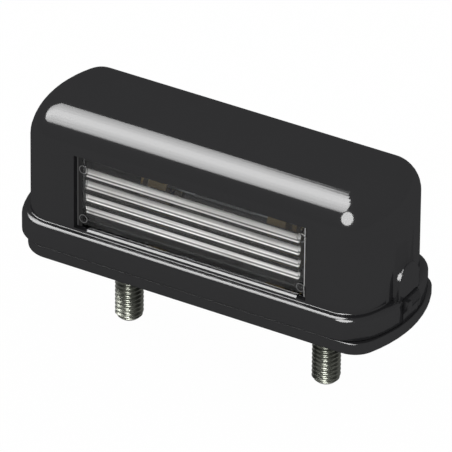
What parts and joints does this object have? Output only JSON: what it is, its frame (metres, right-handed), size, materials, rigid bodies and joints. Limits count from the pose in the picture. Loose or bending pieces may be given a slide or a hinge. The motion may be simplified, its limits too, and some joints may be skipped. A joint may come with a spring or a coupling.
{
  "type": "number plate lamp",
  "caption": "Black hooded number plate lamp with a clear fluted lens, a latch at one end, threaded mounting studs below and a festoon bulb inside.",
  "frame": {"origin": "centre of the mounting face, midway between the studs", "axes": "+Z out of the vehicle's surface towards the top of the hood, +X along the lamp to the latch end, and the lens faces -Y"},
  "size_m": [0.0872, 0.0314, 0.0509],
  "materials": {
    "black_plastic": "glossy moulded black",
    "clear_plastic": "clear fluted plastic",
    "rubber": "matte soft rubber",
    "zinc_steel": "zinc plated",
    "bulb_glass": "clear glass",
    "cap_metal": "bright pressed metal",
    "filament": "bare wire",
    "brass": "plain brass strip",
    "reflector": "bright sheet"
  },
  "bodies": {
    "root": {"base_plate": "black_plastic", "hood": "black_plastic", "lens": "clear_plastic", "hood_seal": "rubber", "mounting_gasket": "rubber", "cable_grommet": "rubber", "stud_left": "zinc_steel", "stud_right": "zinc_steel", "stud_seal_left": "rubber", "stud_seal_right": "rubber", "bulb_glass": "bulb_glass", "bulb_cap_left": "cap_metal", "bulb_cap_right": "cap_metal", "bulb_filament": "filament", "contact_left": "brass", "contact_right": "brass", "contact_rivet_left": "brass", "contact_rivet_right": "brass", "terminal_screw_left": "zinc_steel", "terminal_screw_right": "zinc_steel", "terminal_clamp_left": "zinc_steel", "terminal_clamp_right": "zinc_steel", "reflector": "reflector"}
  },
  "joints": []
}
